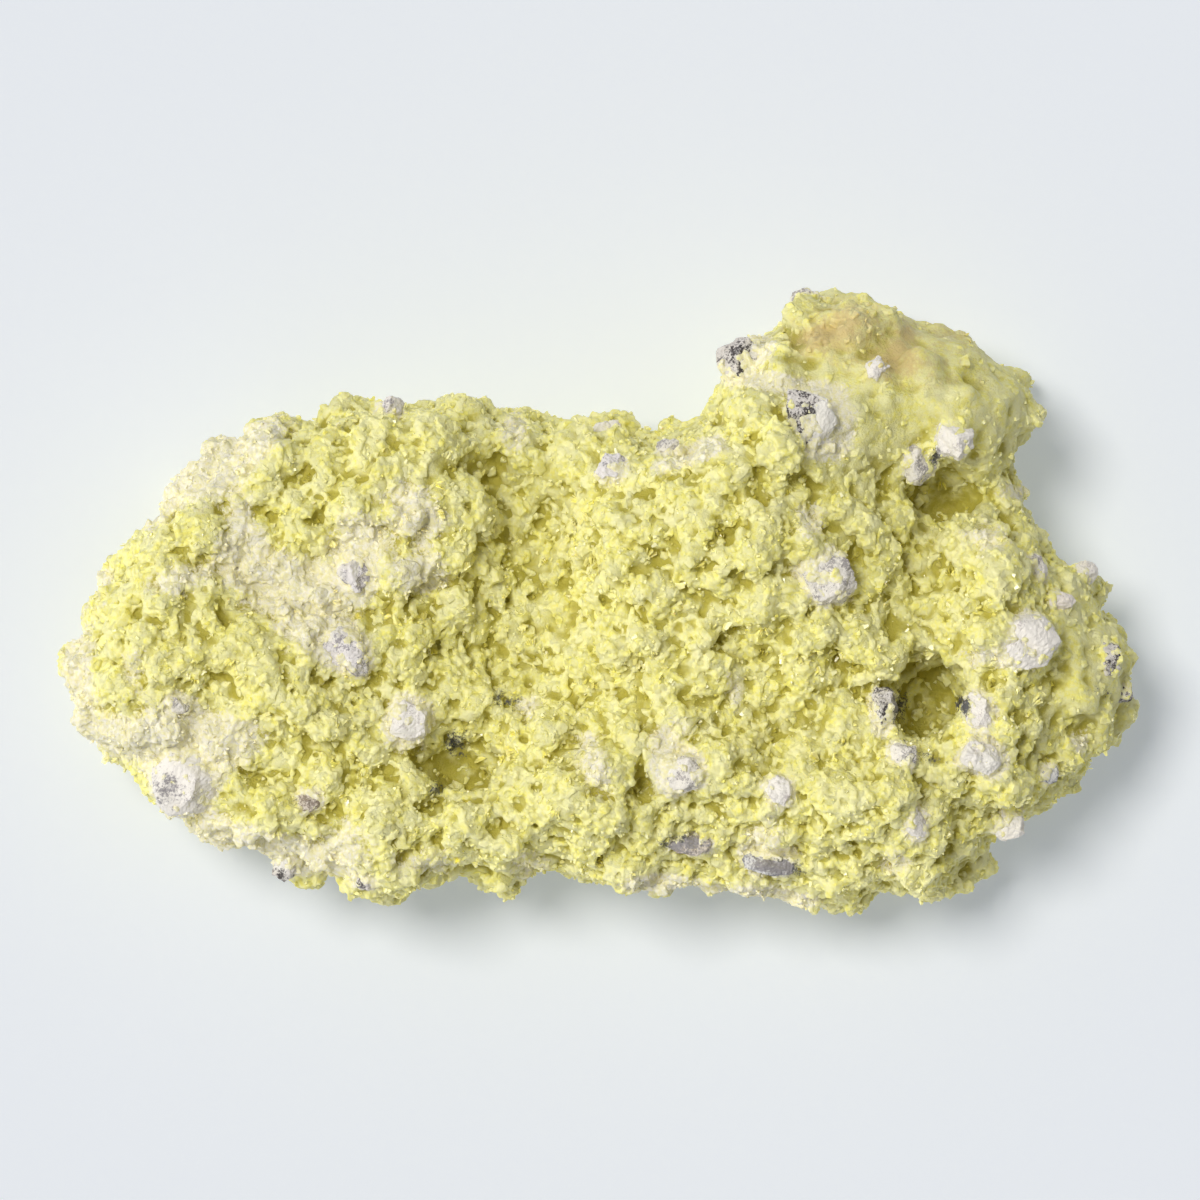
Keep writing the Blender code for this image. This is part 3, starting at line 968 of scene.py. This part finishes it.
def blades(name, skin, stones, bundles, per_bundle, weight, material, seed):
    """Bundles of flat crystals side by side, some fanned out from one root."""
    rng = np.random.default_rng(seed)
    root, outward, triangle = scatter(skin, bundles, weight, rng)
    frame = frames_along(unit(outward + 0.7 * rng.normal(size=outward.shape)), rng)
    gap, fan = rng.uniform(0.12, 0.25, (bundles, 1, 1)), rng.uniform(0.05, 0.45, (bundles, 1, 1))
    step = (np.arange(per_bundle) - (per_bundle - 1) / 2)[None, :, None]
    side, axis = frame[:, None, :, 1], frame[:, None, :, 2]
    place = root[:, None] + side * step * gap * MM - outward[:, None] * 0.2 * MM
    count = bundles * per_bundle
    axis = unit((axis + side * step * fan).reshape(count, 3) + 0.12 * rng.normal(size=(count, 3)))
    across = unit(np.cross(np.repeat(frame[:, :, 1], per_bundle, axis=0), axis))
    long = rng.uniform(0.9, 2.0, count)
    sizes = np.column_stack([long * rng.uniform(0.4, 0.7, count), rng.uniform(0.15, 0.35, count), long]) * MM
    frames = np.stack([across, np.cross(axis, across), axis], axis=2)
    shape = blade_shape()
    places = place.reshape(count, 3)
    facts = facts_at(places, np.repeat(triangle, per_bundle), skin, stones, rng)
    return dress(name, joined(name, shape, tiled(shape, frames, sizes, places), facts), material)


# ======== Stones ========


def stone(node, materials):
    """A rough, chipped stone in place of the node's smooth one."""
    kind = node.split("_")[0]
    bm = swollen(closed_copy(node), STONE_SWELL)
    size = min(Vector(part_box(node)[1]) - Vector(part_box(node)[0])) / MM
    dent_size, dent_depth = STONE_DENTS
    obj = link(node, fused(node, taken(node, bm), size * STONE_VOXEL))
    lumps(obj, node + "_dents", "CLOUDS", size * dent_size, size * dent_depth)
    chipped = thinned(node, with_modifiers_applied(obj), STONE_FACETS)
    obj = link(node + "_rough", fused(node, chipped, max(LEAST_STONE_VOXEL, size * ROUGH_STONE_VOXEL)))
    lumps(obj, node + "_grit", "CLOUDS", *STONE_GRIT)
    mesh = with_modifiers_applied(obj)
    place = numbers(mesh.vertices, "co", 3)
    store(mesh, {"powder": mask(place, POWDER) - CLEANER_STONES, "grit": mask(place, GRITTY)})
    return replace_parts(dress(node + "_rough", mesh, materials[kind], slot_of(node)), node)


def slot_of(node):
    return next(s["material_slot"] for s in frame["record"]["subparts"] if s["node"] == node)


# ======== The sulfur and what grows on it ========


def sulfur(stones):
    """The sulfur's visible skin in place of its solid. Gives the skin as arrays."""
    mesh = sulfur_skin(stones)
    skin = skin_of(mesh)
    skin.hollow = hollows(mesh, SKIN_HOLLOW_ROUNDS)
    # The hollow fact paints shade: olive gold in the skin's hollows and on the skin between grains.
    hollow = skin.hollow + SHADE_UNDER_GRAINS * (1 - calm_at(skin.place))
    store(mesh, {"hollow": hollow} | stains(skin.place, stones))
    lay_out(mesh)
    material = sulfur_material("sulfur_skin", roughness=0.5, ior=1.45, see_into=0.45, grain_depth=0.3)
    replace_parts(dress("sulfur_skin", mesh, material), "sulfur_mass")
    return skin


def growth_on_skin(skin, stones):
    """How thickly grains, sharp crystals and blades grow on each triangle of the skin."""
    above = eased(skin.middle[:, 2] / MM, *GROWTH_FROM)
    facing = 0.25 + 0.75 * eased(skin.normal[skin.corner].mean(axis=1)[:, 2], -0.4, 0.4)
    calm = calm_at(skin.middle)
    collar = 1 + COLLAR * np.exp(-((room_at(skin.middle, stones) / COLLAR_REACH) ** 2))
    standing_out = 0.8 + 0.4 * eased(-skin.hollow[skin.corner].mean(axis=1), -0.3, 0.2)
    in_pits = np.clip(mask(skin.middle, PITS), 0, 1)
    grains = above * facing * collar * (1 - 0.4 * calm) * (1 - 0.7 * in_pits) * standing_out
    bladed = above * facing * (0.12 + np.clip(mask(skin.middle, BLADED), 0, 1)) * (1 - calm)
    return grains, grains * (1 - calm), bladed


def growth_on_rock(rock, near_skin):
    """How thickly grains grow on each triangle of the stones: only close to the skin."""
    height = np.array([near_skin.find(place)[2] for place in rock.middle]) / MM
    return eased(height, *RIM_HEIGHTS) * eased(rock.middle[:, 2] / MM, *GROWTH_FROM)


def grow(skin, rock, stones):
    """The crust, the sharp crystals and the blades."""
    near_skin = point_tree(skin.place)
    grains, sharp, bladed = growth_on_skin(skin, stones)
    surfaces = ((skin, CRUST_GRAINS, grains), (rock, GRAINS_ON_STONES, growth_on_rock(rock, near_skin)))
    waxy = sulfur_material("crystal_crust", roughness=0.45, ior=1.45, see_into=0.35, grain_depth=0.12)
    crust(skin, near_skin, stones, surfaces, waxy)
    sugary = sulfur_material(
        "sugar_crystal", roughness=0.25, ior=1.7, see_into=0.3, grain_depth=0.03, tint_fact=True
    )
    crystals(
        "sugar_crystals",
        skin,
        stones,
        blade_shape(),
        count=6000,
        weight=sharp,
        size=(0.3, 0.75),
        lift=0.25,
        lean=1.2,
        material=sugary,
        seed=10,
    )
    glassy = sulfur_material(
        "glassy_blade", roughness=0.2, ior=1.9, see_into=0.3, grain_depth=0.04, tint_fact=True
    )
    blades(
        "glassy_blades",
        skin,
        stones,
        bundles=150,
        per_bundle=5,
        weight=bladed,
        material=glassy,
        seed=20,
    )


# ======== Studio ========


def floor():
    bm = bmesh.new()
    bmesh.ops.create_grid(bm, x_segments=1, y_segments=1, size=3.0)
    mesh = taken("floor", bm)
    material, shader = nodes_of("floor_paint", 0.95)
    shader.inputs["Base Color"].default_value = (*FLOOR_PAINT, 1)
    shader.inputs["Specular IOR Level"].default_value = 0.0
    shader.inputs["Emission Color"].default_value = (*FLOOR_GLOW, 1)
    shader.inputs["Emission Strength"].default_value = 1.0
    mesh.materials.append(material)
    link("floor", mesh)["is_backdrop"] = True


def lights():
    world = bpy.data.worlds.new("studio")
    bpy.context.scene.world = world
    world.use_nodes = True
    tree = world.node_tree
    sky = tree.nodes["Background"]
    sky.inputs["Color"].default_value = (1.0, 0.985, 0.96, 1)
    sky.inputs["Strength"].default_value = SKY
    backdrop = tree.nodes.new("ShaderNodeBackground")
    backdrop.inputs["Color"].default_value = (*BACKDROP, 1)
    which = tree.nodes.new("ShaderNodeMixShader")
    tree.links.new(tree.nodes.new("ShaderNodeLightPath").outputs["Is Camera Ray"], which.inputs["Fac"])
    tree.links.new(sky.outputs[0], which.inputs[1])
    tree.links.new(backdrop.outputs[0], which.inputs[2])
    tree.links.new(which.outputs[0], tree.nodes["World Output"].inputs["Surface"])
    for name, (strength, width, source) in SUNS.items():
        sun = bpy.data.lights.new(name, "SUN")
        sun.energy = strength
        sun.angle = math.radians(width)
        sun.color = (1.0, 0.99, 0.97)
        obj = bpy.data.objects.new(name, sun)
        obj.rotation_euler = Vector(source).to_track_quat("Z", "Y").to_euler()
        bpy.context.scene.collection.objects.link(obj)
        if name != "key":
            obj.light_linking.receiver_collection = specimen


def camera():
    data = bpy.data.cameras.new("camera")
    data.lens = LENS
    data.sensor_width = SENSOR
    data.clip_end = 20
    obj = bpy.data.objects.new("camera", data)
    distance = FRAME_WIDTH * MM * LENS / SENSOR
    obj.location = (0, 0, distance + RIM_LEVEL * MM)
    bpy.context.scene.collection.objects.link(obj)
    bpy.context.scene.camera = obj


# ======== Putting it together ========

camera()
lights()
floor()
bpy.context.scene.view_settings.view_transform = "Standard"

stones = stone_tree()
skin = sulfur(stones)
stone_materials = {kind: stone_material(kind) for kind in STONE_COLOURS}
rock = rock_of([stone(node, stone_materials) for node in stone_nodes()])
grow(skin, rock, stones)

[[list(map(float, corner)) for corner in box] for box in (cad_box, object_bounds())]
